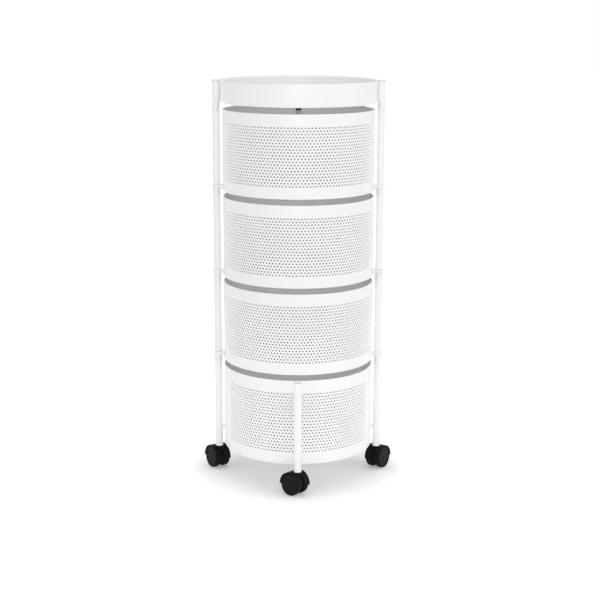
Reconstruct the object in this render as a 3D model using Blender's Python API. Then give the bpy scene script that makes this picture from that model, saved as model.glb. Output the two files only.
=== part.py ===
"""Rotating storage organizer: four round baskets and a tray between two posts, on four twin-wheel casters.

Metres, +Z up, front towards -Y. The origin is on the ground, midway between the two posts.
The three upper baskets swing out: each turns on one post and hooks onto the other.
"""

import math

import bmesh
import bpy
from mathutils import Matrix

# Sheet-metal baskets and tray
BASKET_RADIUS = 0.145
BASKET_HEIGHT = 0.154
BASE_HEIGHT = 0.164
TRAY_HEIGHT = 0.043
TIER_GAP = 0.011
TRAY_GAP = 0.011
SHEET = 0.001
HEM_WIDTH = 0.003
HEM_DEPTH = 0.005
FLOOR_FLANGE = 0.008
TRAY_CORNER = 0.003

# Grid of openings in the front of each basket, which stands for its many small round holes
OPENING_COLUMNS = 10
OPENING_ROWS = 3
OPENING_FILL_ACROSS = 0.9
OPENING_FILL_UP = 0.58
FIELD_FOOT = 0.018
FIELD_HEAD = 0.0195

# Posts and legs
TUBE_RADIUS = 0.0075
TUBE_WALL = 0.001
POST_STANDOFF = 0.0045
SPIGOT_DEPTH = 0.014
CAP_THICKNESS = 0.002
CAP_PLUG = 0.008
LEG_DROP = 0.0104
LEG_CROWN = 0.0015
SPACER_RADIUS = 0.0033
SPACER_LIFT = 0.030

# Pivot collars and hooks of the swinging baskets
COLLAR_HEIGHT = 0.009
COLLAR_OVERHANG = 0.0014
HOOK_WALL = 0.0016
TAB_WIDTH = 0.012

# Stop under the tray, on the upper basket's front rim
PEG_RADIUS = 0.005
PEG_RISE = 0.007
PEG_DROP = 0.018
PAD_THICKNESS = 0.003
LUG_WIDTH = 0.006
LUG_HEIGHT = 0.008

# Casters
WHEEL_RADIUS = 0.021
WHEEL_WIDTH = 0.0115
WHEEL_EDGE = 0.0014
WHEEL_RIM = 0.0035
WHEEL_DISH = 0.0007
WHEEL_FACE = 0.002
HOOD_SHELL = 0.0024
HOOD_CLEARANCE = 0.0008
HOOD_SKIRT = 0.001
HOOD_OVERLAP = 0.0003
WEB_THICKNESS = 0.0088
AXLE_RADIUS = 0.002
AXLE_BOSS = 0.005
STEM_RADIUS = 0.003
STEM_ABOVE_AXLE = 0.008
SOCKET_DEPTH = 0.025
TRAIL = 0.007

# Clearances
SEAT_GAP = 0.0003
RUNNING_GAP = 0.0004

# Where each caster points at rest, as the direction from its stem to its wheels
CASTER_HEADING = {"left": 123.0, "right": 57.0, "front": 138.0, "rear": 222.0}

# Facets of round pieces
SHELL_SIDES = 48
TUBE_SIDES = 16
WHEEL_SIDES = 16
PIN_SIDES = 12
HOOD_ARC_STEPS = 11

# Sizes that follow from those above
POST_OFFSET = BASKET_RADIUS + POST_STANDOFF + TUBE_RADIUS
TRAY_RADIUS = POST_OFFSET - TUBE_RADIUS - SEAT_GAP
TUBE_BORE = TUBE_RADIUS - TUBE_WALL
SPIGOT_RADIUS = TUBE_BORE - SEAT_GAP
PEG_OFFSET = BASKET_RADIUS - HEM_WIDTH - SEAT_GAP - PEG_RADIUS
HOOD_INNER = WHEEL_RADIUS + HOOD_CLEARANCE
HOOD_RADIUS = HOOD_INNER + HOOD_SHELL
WHEEL_INNER_FACE = WEB_THICKNESS / 2 + RUNNING_GAP
HOOD_HALF_WIDTH = WHEEL_INNER_FACE + WHEEL_WIDTH + HOOD_OVERLAP
CASTER_HEIGHT = WHEEL_RADIUS + HOOD_RADIUS
LEG_END = CASTER_HEIGHT + RUNNING_GAP
BASE_BOTTOM = LEG_END + LEG_DROP
BASE_RIM = BASE_BOTTOM + BASE_HEIGHT
LOWER_BOTTOM = BASE_RIM + TIER_GAP
MIDDLE_BOTTOM = LOWER_BOTTOM + BASKET_HEIGHT + TIER_GAP
UPPER_BOTTOM = MIDDLE_BOTTOM + BASKET_HEIGHT + TIER_GAP
UPPER_RIM = UPPER_BOTTOM + BASKET_HEIGHT
TRAY_BOTTOM = UPPER_RIM + TRAY_GAP
TRAY_RIM = TRAY_BOTTOM + TRAY_HEIGHT

SIDES = {"left": -1, "right": 1}
FEET = {
    "left": (-POST_OFFSET, 0.0),
    "right": (POST_OFFSET, 0.0),
    "front": (0.0, -POST_OFFSET),
    "rear": (0.0, POST_OFFSET),
}
SWING_BASKETS = {
    "lower": (LOWER_BOTTOM, "left", "right"),
    "middle": (MIDDLE_BOTTOM, "right", "left"),
    "upper": (UPPER_BOTTOM, "left", "right"),
}
SMOOTH_ANGLE = math.radians(35)
CUTTER_REACH = 4 * CASTER_HEIGHT


def clear_scene():
    for item in list(bpy.data.objects):
        bpy.data.objects.remove(item, do_unlink=True)


def make_material(name, colour, roughness, metallic=0.0):
    material = bpy.data.materials.new(name)
    material.use_nodes = True
    shader = material.node_tree.nodes["Principled BSDF"]
    shader.inputs["Base Color"].default_value = (*colour, 1.0)
    shader.inputs["Roughness"].default_value = roughness
    shader.inputs["Metallic"].default_value = metallic
    material.diffuse_color = (*colour, 1.0)
    return material


def add_object(name, mesh, material, parent=None, location=(0, 0, 0), turn=0.0):
    piece = bpy.data.objects.new(name, mesh)
    bpy.context.scene.collection.objects.link(piece)
    if not mesh.materials:
        mesh.materials.append(material)
    piece.parent = parent
    piece.location = location
    piece.rotation_euler = (0, 0, turn)
    return piece


def add_pivot(name, location, turn=0.0):
    pivot = bpy.data.objects.new(name, None)
    bpy.context.scene.collection.objects.link(pivot)
    pivot.location = location
    pivot.rotation_euler = (0, 0, turn)
    return pivot


def finish_mesh(name, shape):
    bmesh.ops.remove_doubles(shape, verts=shape.verts, dist=1e-6)
    bmesh.ops.recalc_face_normals(shape, faces=shape.faces)
    mesh = bpy.data.meshes.new(name)
    shape.to_mesh(mesh)
    shape.free()
    mesh.shade_smooth()
    mesh.set_sharp_from_angle(angle=SMOOTH_ANGLE)
    return mesh


def turned(name, profile, sides, closed=True):
    """Spins a profile of (radius, height) points about Z. An open profile starts and ends on the axis."""
    shape = bmesh.new()
    points = [shape.verts.new((radius, 0, height)) for radius, height in profile]
    ends = points[1:] + points[:1] if closed else points[1:]
    edges = [shape.edges.new(pair) for pair in zip(points, ends)]
    bmesh.ops.spin(
        shape,
        geom=points + edges,
        cent=(0, 0, 0),
        axis=(0, 0, 1),
        angle=2 * math.pi,
        steps=sides,
        use_merge=True,
        use_duplicate=False,
    )
    return finish_mesh(name, shape)


def extruded(name, outline, depth):
    """Pulls a flat outline of (x, z) points to both sides of the XZ plane, depth thick in all."""
    shape = bmesh.new()
    face = shape.faces.new([shape.verts.new((x, -depth / 2, z)) for x, z in outline])
    pulled = bmesh.ops.extrude_face_region(shape, geom=[face])
    moved = [item for item in pulled["geom"] if isinstance(item, bmesh.types.BMVert)]
    bmesh.ops.translate(shape, verts=moved, vec=(0, depth, 0))
    return finish_mesh(name, shape)


def cylinder(name, radius, length, sides, middle=(0, 0, 0), along="Z"):
    shape = bmesh.new()
    turns = {
        "X": Matrix.Rotation(math.pi / 2, 4, "Y"),
        "Y": Matrix.Rotation(math.pi / 2, 4, "X"),
        "Z": Matrix.Identity(4),
    }
    bmesh.ops.create_cone(
        shape,
        cap_ends=True,
        segments=sides,
        radius1=radius,
        radius2=radius,
        depth=length,
        matrix=Matrix.Translation(middle) @ turns[along],
    )
    return finish_mesh(name, shape)


def block(name, low, high):
    shape = bmesh.new()
    size = [b - a for a, b in zip(low, high)]
    middle = [(a + b) / 2 for a, b in zip(low, high)]
    placed = Matrix.Translation(middle) @ Matrix.Diagonal((*size, 1))
    bmesh.ops.create_cube(shape, size=1, matrix=placed)
    return finish_mesh(name, shape)


def carved(name, start, steps):
    """One mesh out of a starting mesh and (operation, mesh) steps, by Boolean modifiers in that order."""
    base = bpy.data.objects.new(name, start)
    bpy.context.scene.collection.objects.link(base)
    helpers = []
    for operation, mesh in steps:
        helper = bpy.data.objects.new(f"{name}_{operation.lower()}", mesh)
        bpy.context.scene.collection.objects.link(helper)
        helper.hide_render = True
        helper.display_type = "WIRE"
        modifier = base.modifiers.new(operation, "BOOLEAN")
        modifier.operation = operation
        modifier.solver = "EXACT"
        modifier.object = helper
        helpers.append(helper)
    graph = bpy.context.evaluated_depsgraph_get()
    result = bpy.data.meshes.new_from_object(base.evaluated_get(graph))
    for helper in [*helpers, base]:
        bpy.data.objects.remove(helper, do_unlink=True)
    result.name = name
    result.shade_smooth()
    result.set_sharp_from_angle(angle=SMOOTH_ANGLE)
    return result


def opening_grid(name, height):
    """Blocks that cut a basket's openings, each inside one facet of the wall, on every second facet of its front."""
    shape = bmesh.new()
    facet = 2 * math.pi / SHELL_SIDES
    width = OPENING_FILL_ACROSS * 2 * BASKET_RADIUS * math.sin(facet / 2)
    pitch = (height - FIELD_FOOT - FIELD_HEAD) / OPENING_ROWS
    size = Matrix.Diagonal((width, 10 * SHEET, OPENING_FILL_UP * pitch, 1))
    for column in range(OPENING_COLUMNS // 2):
        for side in SIDES.values():
            turn = Matrix.Rotation(side * (2 * column + 1.5) * facet, 4, "Z")
            for row in range(OPENING_ROWS):
                place = Matrix.Translation((0, -BASKET_RADIUS, FIELD_FOOT + (row + 0.5) * pitch))
                bmesh.ops.create_cube(shape, size=1, matrix=turn @ place @ size)
    return finish_mesh(name, shape)


def basket_wall(name, height):
    """A rolled sheet with its top edge folded in as a hem and a grid of openings in its front."""
    outer, inner, hem = BASKET_RADIUS, BASKET_RADIUS - SHEET, BASKET_RADIUS - HEM_WIDTH
    hem_foot = height - HEM_DEPTH
    profile = [
        (outer, height),
        (outer, 0),
        (inner, 0),
        (inner, hem_foot - (inner - hem)),
        (hem, hem_foot),
        (hem, height),
    ]
    return carved(name, turned("sheet", profile, SHELL_SIDES), [("DIFFERENCE", opening_grid("openings", height))])


def basket_floor(name):
    """A disc with its edge turned down, pressed up inside the foot of the wall."""
    edge = BASKET_RADIUS - SHEET - SEAT_GAP
    profile = [
        (0, FLOOR_FLANGE),
        (edge, FLOOR_FLANGE),
        (edge, 0),
        (edge - SHEET, 0),
        (edge - SHEET, FLOOR_FLANGE - SHEET),
        (0, FLOOR_FLANGE - SHEET),
    ]
    return turned(name, profile, SHELL_SIDES, closed=False)


def tray_pan(name):
    """A shallow pressed pan with a bevelled foot and a folded rim."""
    outer, inner, hem = TRAY_RADIUS, TRAY_RADIUS - SHEET, TRAY_RADIUS - HEM_WIDTH
    hem_foot = TRAY_HEIGHT - HEM_DEPTH
    profile = [
        (0, SHEET),
        (inner - TRAY_CORNER, SHEET),
        (inner, SHEET + TRAY_CORNER),
        (inner, hem_foot - (inner - hem)),
        (hem, hem_foot),
        (hem, TRAY_HEIGHT),
        (outer, TRAY_HEIGHT),
        (outer, TRAY_CORNER),
        (outer - TRAY_CORNER, 0),
        (0, 0),
    ]
    return turned(name, profile, SHELL_SIDES, closed=False)


def plain_tube(name, low, high):
    profile = [(TUBE_RADIUS, high), (TUBE_RADIUS, low), (TUBE_BORE, low), (TUBE_BORE, high)]
    return turned(name, profile, TUBE_SIDES)


def spigot_tube(name, low, high, foot):
    """A tube whose lower end is drawn in to a spigot that reaches down to foot, inside the tube below."""
    profile = [
        (TUBE_RADIUS, high),
        (TUBE_RADIUS, low),
        (SPIGOT_RADIUS, low),
        (SPIGOT_RADIUS, foot),
        (SPIGOT_RADIUS - TUBE_WALL, foot),
        (SPIGOT_RADIUS - TUBE_WALL, low + TUBE_WALL),
        (TUBE_BORE, low + TUBE_WALL),
        (TUBE_BORE, high),
    ]
    return turned(name, profile, TUBE_SIDES)


def leg_tube(name):
    """A short tube closed by a shallow crown at the base basket's rim."""
    crown_foot = BASE_RIM - LEG_CROWN
    profile = [
        (0, BASE_RIM),
        (TUBE_BORE - LEG_CROWN, BASE_RIM),
        (TUBE_RADIUS, crown_foot),
        (TUBE_RADIUS, LEG_END),
        (TUBE_BORE, LEG_END),
        (TUBE_BORE, crown_foot - TUBE_WALL),
        (0, crown_foot - TUBE_WALL),
    ]
    return turned(name, profile, TUBE_SIDES, closed=False)


def post_cap(name):
    profile = [
        (0, CAP_THICKNESS),
        (TUBE_RADIUS, CAP_THICKNESS),
        (TUBE_RADIUS, 0),
        (SPIGOT_RADIUS, 0),
        (SPIGOT_RADIUS, -CAP_PLUG),
        (0, -CAP_PLUG),
    ]
    return turned(name, profile, TUBE_SIDES, closed=False)


def collar_tab(name, reach):
    """The block that carries a collar or hook on the basket's wall, along +X from the post's axis."""
    wall = POST_OFFSET - BASKET_RADIUS - SEAT_GAP
    return block(name, (reach, -TAB_WIDTH / 2, 0), (wall, TAB_WIDTH / 2, COLLAR_HEIGHT))


def pivot_collar(name):
    """A ring that turns on the spigot between two tubes of a post, with its tab."""
    bore = SPIGOT_RADIUS + RUNNING_GAP
    middle = (0, 0, COLLAR_HEIGHT / 2)
    ring = cylinder("ring", TUBE_RADIUS + COLLAR_OVERHANG, COLLAR_HEIGHT, TUBE_SIDES, middle)
    hole = cylinder("hole", bore, CUTTER_REACH, TUBE_SIDES)
    return carved(name, ring, [("UNION", collar_tab("tab", TUBE_RADIUS)), ("DIFFERENCE", hole)])


def post_hook(name, side):
    """An open hook round the other post. It leaves the post towards the front, so its mouth is at the rear."""
    bore = TUBE_RADIUS + RUNNING_GAP
    middle = (0, 0, COLLAR_HEIGHT / 2)
    ring = cylinder("ring", bore + HOOK_WALL, COLLAR_HEIGHT, TUBE_SIDES, middle)
    hole = cylinder("hole", bore, CUTTER_REACH, TUBE_SIDES)
    rear = -side
    mouth_low = (-bore, min(0, rear * CUTTER_REACH), -CUTTER_REACH)
    mouth_high = (bore, max(0, rear * CUTTER_REACH), CUTTER_REACH)
    steps = [
        ("UNION", collar_tab("tab", bore + RUNNING_GAP)),
        ("DIFFERENCE", hole),
        ("DIFFERENCE", block("mouth", mouth_low, mouth_high)),
    ]
    return carved(name, ring, steps)


def stop_peg(name):
    """A peg with a lug to the wall behind it, along -Y. Height zero is the basket's rim."""
    middle = (0, 0, (PEG_RISE - PEG_DROP) / 2)
    peg = cylinder("peg", PEG_RADIUS, PEG_RISE + PEG_DROP, PIN_SIDES, middle)
    wall = BASKET_RADIUS - SHEET - SEAT_GAP - PEG_OFFSET
    low = (-LUG_WIDTH / 2, -wall, -PEG_DROP)
    high = (LUG_WIDTH / 2, 0, -PEG_DROP + LUG_HEIGHT)
    return carved(name, peg, [("UNION", block("lug", low, high))])


def caster_hood(name):
    """A half-round hood over both wheels, a web between them, and a seat for the leg above the stem."""
    foot = WHEEL_RADIUS - HOOD_SKIRT
    arc = [math.pi * step / HOOD_ARC_STEPS for step in range(HOOD_ARC_STEPS + 1)]
    outline = [(TRAIL - HOOD_RADIUS, foot)]
    outline += [(TRAIL - HOOD_RADIUS * math.cos(a), WHEEL_RADIUS + HOOD_RADIUS * math.sin(a)) for a in arc]
    outline += [(TRAIL + HOOD_RADIUS, foot)]
    blank = extruded("blank", outline, 2 * HOOD_HALF_WIDTH)
    seat_foot = WHEEL_RADIUS + STEM_ABOVE_AXLE
    seat_length = CASTER_HEIGHT - seat_foot
    seat = cylinder("seat", TUBE_RADIUS, seat_length, TUBE_SIDES, (0, 0, seat_foot + seat_length / 2))
    pocket_middle = (WEB_THICKNESS + CUTTER_REACH) / 2
    axle = (TRAIL, 0, WHEEL_RADIUS)
    steps = [("UNION", seat)]
    for side in SIDES.values():
        place = (TRAIL, side * pocket_middle, WHEEL_RADIUS)
        steps.append(("DIFFERENCE", cylinder("pocket", HOOD_INNER, CUTTER_REACH, 2 * HOOD_ARC_STEPS, place, "Y")))
    steps.append(("UNION", cylinder("boss", AXLE_BOSS, WEB_THICKNESS, PIN_SIDES, axle, "Y")))
    steps.append(("DIFFERENCE", cylinder("bore", AXLE_RADIUS + SEAT_GAP, CUTTER_REACH, PIN_SIDES, axle, "Y")))
    hole_foot = seat_foot - SEAT_GAP
    hole_middle = (0, 0, hole_foot + CUTTER_REACH / 2)
    steps.append(("DIFFERENCE", cylinder("hole", STEM_RADIUS + SEAT_GAP, CUTTER_REACH, PIN_SIDES, hole_middle)))
    return carved(name, blank, steps)


def caster_wheel(name):
    """A wheel with a blind bore in its inner face, at height zero, and a dished outer face."""
    bore = AXLE_RADIUS + SEAT_GAP
    dish = WHEEL_WIDTH - WHEEL_DISH
    blind = dish - WHEEL_FACE
    profile = [
        (0, blind),
        (bore, blind),
        (bore, 0),
        (WHEEL_RADIUS - WHEEL_EDGE, 0),
        (WHEEL_RADIUS, WHEEL_EDGE),
        (WHEEL_RADIUS, WHEEL_WIDTH - WHEEL_EDGE),
        (WHEEL_RADIUS - WHEEL_EDGE, WHEEL_WIDTH),
        (WHEEL_RADIUS - WHEEL_RIM, WHEEL_WIDTH),
        (WHEEL_RADIUS - WHEEL_RIM - WHEEL_DISH, dish),
        (0, dish),
    ]
    return turned(name, profile, WHEEL_SIDES, closed=False)


def caster_socket(name):
    """A bush inside the leg's lower end that the stem turns in."""
    bore = STEM_RADIUS + RUNNING_GAP
    profile = [(SPIGOT_RADIUS, SOCKET_DEPTH), (SPIGOT_RADIUS, 0), (bore, 0), (bore, SOCKET_DEPTH)]
    return turned(name, profile, PIN_SIDES)


def add_tray_and_base():
    add_object("top_tray", tray_pan("top_tray"), WHITE, location=(0, 0, TRAY_BOTTOM))
    add_object("base_basket_wall", basket_wall("base_wall", BASE_HEIGHT), WHITE, location=(0, 0, BASE_BOTTOM))
    add_object("base_basket_floor", basket_floor("base_floor"), WHITE, location=(0, 0, BASE_BOTTOM))


def add_posts():
    """Each post is a stack of tubes. A basket's collar sits between two of them on the side that it turns on."""
    for post, side in SIDES.items():
        low, foot = LEG_END, None
        names = ["leg", "lower_tube", "middle_tube", "upper_tube", "tray_tube"]
        joints = [(bottom, pivot == post) for bottom, pivot, _ in SWING_BASKETS.values()]
        joints += [(UPPER_RIM, False), (TRAY_RIM - CAP_THICKNESS - SEAT_GAP, False)]
        for name, (joint, has_collar) in zip(names, joints):
            node = f"{post}_post_{name}"
            mesh = plain_tube(node, low, joint) if foot is None else spigot_tube(node, low, joint, foot)
            add_object(node, mesh, WHITE, location=(side * POST_OFFSET, 0, 0))
            foot = joint - SPIGOT_DEPTH
            low = joint + SEAT_GAP
            if has_collar:
                low += COLLAR_HEIGHT + SEAT_GAP
        top = (side * POST_OFFSET, 0, TRAY_RIM - CAP_THICKNESS)
        add_object(f"{post}_post_cap", post_cap(f"{post}_cap"), WHITE_PLASTIC, location=top)


def add_legs_and_spacers():
    for foot in ("front", "rear"):
        x, y = FEET[foot]
        add_object(f"{foot}_leg", leg_tube(f"{foot}_leg"), WHITE, location=(x, y, 0))
    inner, outer = BASKET_RADIUS + SEAT_GAP, POST_OFFSET - TUBE_RADIUS - SEAT_GAP
    for foot, (x, y) in FEET.items():
        mesh = cylinder(f"{foot}_spacer", SPACER_RADIUS, outer - inner, PIN_SIDES, along="X")
        reach = (inner + outer) / 2 / POST_OFFSET
        place = (x * reach, y * reach, BASE_BOTTOM + SPACER_LIFT)
        add_object(f"{foot}_spacer", mesh, WHITE, location=place, turn=math.atan2(y, x))


def add_swing_baskets():
    """Each basket hangs on an empty on its post's axis, so that turning the empty swings it out."""
    for tier, (bottom, pivot_post, hook_post) in SWING_BASKETS.items():
        side = SIDES[pivot_post]
        pivot = add_pivot(f"{tier}_basket_pivot", (side * POST_OFFSET, 0, bottom))
        to_middle = (-side * POST_OFFSET, 0, 0)
        to_hook = (-2 * side * POST_OFFSET, 0, SEAT_GAP)
        turn_in = math.pi if side > 0 else 0.0
        wall = basket_wall(f"{tier}_wall", BASKET_HEIGHT)
        add_object(f"{tier}_basket_wall", wall, WHITE, pivot, to_middle)
        add_object(f"{tier}_basket_floor", basket_floor(f"{tier}_floor"), WHITE, pivot, to_middle)
        collar = pivot_collar(f"{tier}_collar")
        add_object(f"{tier}_basket_collar", collar, WHITE, pivot, (0, 0, SEAT_GAP), turn_in)
        hook = post_hook(f"{tier}_hook", SIDES[hook_post])
        add_object(f"{tier}_basket_hook", hook, WHITE, pivot, to_hook, math.pi - turn_in)
        if tier == "upper":
            add_stop(pivot, to_middle)


def add_stop(pivot, to_middle):
    place = (to_middle[0], -PEG_OFFSET, BASKET_HEIGHT)
    add_object("stop_peg", stop_peg("stop_peg"), ZINC, pivot, place)
    middle = (0, 0, PEG_RISE + SEAT_GAP + PAD_THICKNESS / 2)
    pad = cylinder("stop_pad", PEG_RADIUS, PAD_THICKNESS, PIN_SIDES, middle)
    add_object("stop_pad", pad, RUBBER, pivot, place)


def add_casters():
    """Each caster turns about its stem, on an empty at the ground, and each wheel about its own middle."""
    hood_mesh = caster_hood("caster_hood")
    wheel_mesh = caster_wheel("caster_wheel")
    socket_mesh = caster_socket("caster_socket")
    stem_foot = WHEEL_RADIUS + STEM_ABOVE_AXLE
    stem_length = LEG_END + SOCKET_DEPTH - stem_foot
    stem_mesh = cylinder("stem", STEM_RADIUS, stem_length, PIN_SIDES, (0, 0, stem_foot + stem_length / 2))
    axle_half = WHEEL_INNER_FACE + WHEEL_WIDTH - WHEEL_DISH - WHEEL_FACE - SEAT_GAP
    axle_mesh = cylinder("axle", AXLE_RADIUS, 2 * axle_half, PIN_SIDES, along="Y")
    for foot, (x, y) in FEET.items():
        swivel = add_pivot(f"{foot}_caster_swivel", (x, y, 0), math.radians(CASTER_HEADING[foot]))
        add_object(f"{foot}_caster_socket", socket_mesh, BLACK_PLASTIC, location=(x, y, LEG_END))
        add_object(f"{foot}_caster_hood", hood_mesh, BLACK_PLASTIC, swivel)
        add_object(f"{foot}_caster_stem", stem_mesh, ZINC, swivel)
        add_object(f"{foot}_caster_axle", axle_mesh, ZINC, swivel, (TRAIL, 0, WHEEL_RADIUS))
        for hand, side in SIDES.items():
            place = (TRAIL, side * WHEEL_INNER_FACE, WHEEL_RADIUS)
            wheel = add_object(f"{foot}_caster_{hand}_wheel", wheel_mesh, WHEEL_PLASTIC, swivel, place)
            wheel.rotation_euler = (-side * math.pi / 2, 0, 0)


clear_scene()
WHITE = make_material("white_powder_coat", (0.86, 0.86, 0.86), 0.42)
WHITE_PLASTIC = make_material("white_plastic", (0.84, 0.84, 0.84), 0.5)
BLACK_PLASTIC = make_material("black_plastic", (0.02, 0.02, 0.021), 0.55)
WHEEL_PLASTIC = make_material("wheel_plastic", (0.015, 0.015, 0.016), 0.6)
ZINC = make_material("zinc_plate", (0.52, 0.53, 0.54), 0.35, 1.0)
RUBBER = make_material("black_rubber", (0.012, 0.012, 0.012), 0.8)
add_tray_and_base()
add_posts()
add_legs_and_spacers()
add_swing_baskets()
add_casters()
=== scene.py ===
"""Dresses the rotating storage organizer: perforated drums, tray, tube posts and hooded casters.

Metres, +Z up, front towards -Y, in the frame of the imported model.
"""

import math

import bmesh
import bpy
from mathutils import Matrix, Vector


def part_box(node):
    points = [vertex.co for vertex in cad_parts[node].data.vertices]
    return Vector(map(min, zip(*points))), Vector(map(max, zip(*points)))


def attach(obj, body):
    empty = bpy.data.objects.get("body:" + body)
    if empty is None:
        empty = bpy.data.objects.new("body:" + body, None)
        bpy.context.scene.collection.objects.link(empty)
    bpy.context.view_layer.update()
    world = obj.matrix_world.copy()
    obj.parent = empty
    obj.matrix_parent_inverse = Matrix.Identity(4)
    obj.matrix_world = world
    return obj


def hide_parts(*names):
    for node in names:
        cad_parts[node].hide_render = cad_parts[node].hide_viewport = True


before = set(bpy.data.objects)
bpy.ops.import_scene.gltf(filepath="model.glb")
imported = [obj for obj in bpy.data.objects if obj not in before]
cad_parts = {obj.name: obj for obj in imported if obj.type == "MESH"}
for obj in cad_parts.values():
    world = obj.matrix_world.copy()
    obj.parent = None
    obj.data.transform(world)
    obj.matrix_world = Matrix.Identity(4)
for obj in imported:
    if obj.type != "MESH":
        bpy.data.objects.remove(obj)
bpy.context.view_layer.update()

# Gaps, and distances at which points merge
SEAT_GAP = 0.0003
RUNNING_GAP = 0.0004
POINT_WELD = 1e-6
FIELD_WELD = 2e-5
NEARLY_ZERO = 1e-6

# Rounds that several pieces share
FINE_ROUND = 0.0002
EDGE_ROUND = 0.0004
FITTING_ROUND = 0.0005
PIN_ROUND = 0.0006

# Sheet metal
DRUM_RADIUS = 0.145
SHEET = 0.001
SHEET_ROUND = 0.00045
HEM_WIDTH = 0.003
HEM_DEPTH = 0.005
HEM_ROUND = 0.001
RIM_ROUND = 0.0013
TRAY_RADIUS = 0.1492
TRAY_CORNER = 0.003

# Drum floors, the groove as (radius, height)
FLOOR_FLANGE = 0.008
FLOOR_BEND = 0.0016
FLOOR_INNER_BEND = 0.0008
FLOOR_GROOVE = ((0.112, 0.0), (0.1145, -0.0011), (0.1185, -0.0011), (0.121, 0.0))
GROOVE_ROUND = 0.004

# Hole field of the drums
HOLES_ROUND = 144
HOLE_ROWS = 20
HOLE_DIAMETER = 0.0034
HOLE_SIDES = 12
FIRST_ROW_SHARE = 0.153
LAST_ROW_SHARE = 0.838
SWING_FIELD = math.radians(70.5)
BASE_FIELD = math.radians(64.0)
PLAIN_SPOT_RADIUS = 0.0075

# Lap seam at the rear of each drum
SEAM_PLACE = math.radians(157.0)
SEAM_WIDTH = 0.017
SEAM_PROUD = 0.0008
SEAM_ROUND = 0.0003
SEAM_FOOT = 0.0015
SEAM_HEAD = 0.004
SEAM_SPOT = 0.0055
SEAM_SPOTS = 9
SEAM_MARGIN = 0.012

# Tubes, the cap's dome and the leg's crown as (radius, drop, round)
POST_OFFSET = 0.157
TUBE_RADIUS = 0.0075
TUBE_WALL = 0.001
TUBE_LIP = 0.0006
SPIGOT_RADIUS = 0.0062
CAP_DOME = ((0.0046, 0.00035, 0.004), (TUBE_RADIUS, 0.0008, 0.0006))
CAP_RIM = 0.002
CAP_TAPER = 0.0002
LEG_CROWN = ((0.0035, 0.0001, 0.003), (TUBE_RADIUS, 0.0006, 0.0016))
CROWN_THICKNESS = 0.0025
SCREW_DIAMETER = 0.0065

# Pivot rings, hooks and their weld beads
RING_RADIUS = 0.0089
RING_BORE = 0.0066
HOOK_BORE = 0.0079
HOOK_RADIUS = 0.0095
TAB_HALF_WIDTH = 0.006
TAB_REACH = 0.0117
BEAD_RADIUS = 0.0010
BEAD_OVERLAP = 0.0001
BEAD_CORNER = 0.001
BEAD_STEP = 0.0005
BEAD_SWELL = 0.10
BEAD_WAVE_STEPS = 4

# Stop
LUG_HALF_WIDTH = 0.003
LUG_RISE = 0.0003
LUG_HEIGHT = 0.008
PAD_ROUND = 0.0008

# Casters
WHEEL_RADIUS = 0.021
WHEEL_WIDTH = 0.0115
WHEEL_INNER_FACE = 0.0048
WHEEL_DISH = 0.0007
WHEEL_RECESS = 0.0012
HUB_THICKNESS = 0.002
HUB_BUTTON = 0.0005
HOOD_RADIUS = 0.0242
HOOD_INNER = 0.0218
HOOD_HALF_WIDTH = 0.0166
HOOD_SHOULDER = 0.0021
HOOD_SKIRT = 0.001
HOOD_GROOVE_HALF = 0.0021
HOOD_GROOVE_DEPTH = 0.0048
HOOD_GROOVE_LIP = 0.0016
HOOD_GROOVE_FOOT = 0.0008
WEB_HALF = 0.0044
WEB_ROUND = 0.0012
WEB_END = 0.004
NECK_RISE = 0.002
NECK_ROUND = 0.0007
BOSS_RADIUS = 0.005
BOSS_PROUD = 0.00015
POCKET_INSET = 0.0002
POCKET_CLEARANCE = 0.0001
CUTTER_REACH = 0.05
AXLE_RADIUS = 0.002
AXLE_INSET = 0.003
STEM_RADIUS = 0.003
TRAIL = 0.007
CASTER_TOP = 0.0452
CASTER_HEADING = {"left": 123.0, "right": 57.0, "front": 138.0, "rear": 222.0}

# Steps of round forms
FINE_STEPS = 2 * HOLES_ROUND
TRAY_STEPS = 192
FLOOR_STEPS = 128
POCKET_STEPS = 96
WHEEL_STEPS = 72
RING_STEPS = 64
TUBE_STEPS = 48
HOOD_STEPS = 48
PIN_STEPS = 32
HOOK_OUTER_STEPS = 32
HOOK_INNER_STEPS = 24
SCREW_STEPS = 24
SPOT_STEPS = 20
SEAM_STEPS = 12
BEAD_SIDES = 8
ROUND_STEP = math.radians(20)
ROUND_REACH = 0.49
SOFT_EDGE_PARTS = 2
SOFT_EDGE_ANGLE = math.radians(30)
SMOOTH_ANGLE = math.radians(35)

# Grain and wear, as spans of noise and of turn
GRAIN_DETAIL = {"Fine": 3.0, "Broad": 4.0}
WORN_PATCHES = (0.42, 0.62)
TONE_SPAN = (0.3, 0.7)
GLOSS_SPAN = (0.7, 1.3)
WORN_TURN = (math.radians(12), math.radians(20), math.radians(60))

# Where things stand
FEET = {
    "left": (-POST_OFFSET, 0.0),
    "right": (POST_OFFSET, 0.0),
    "front": (0.0, -POST_OFFSET),
    "rear": (0.0, POST_OFFSET),
}
PIVOT_POST = {"lower": "left", "middle": "right", "upper": "left"}

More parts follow.
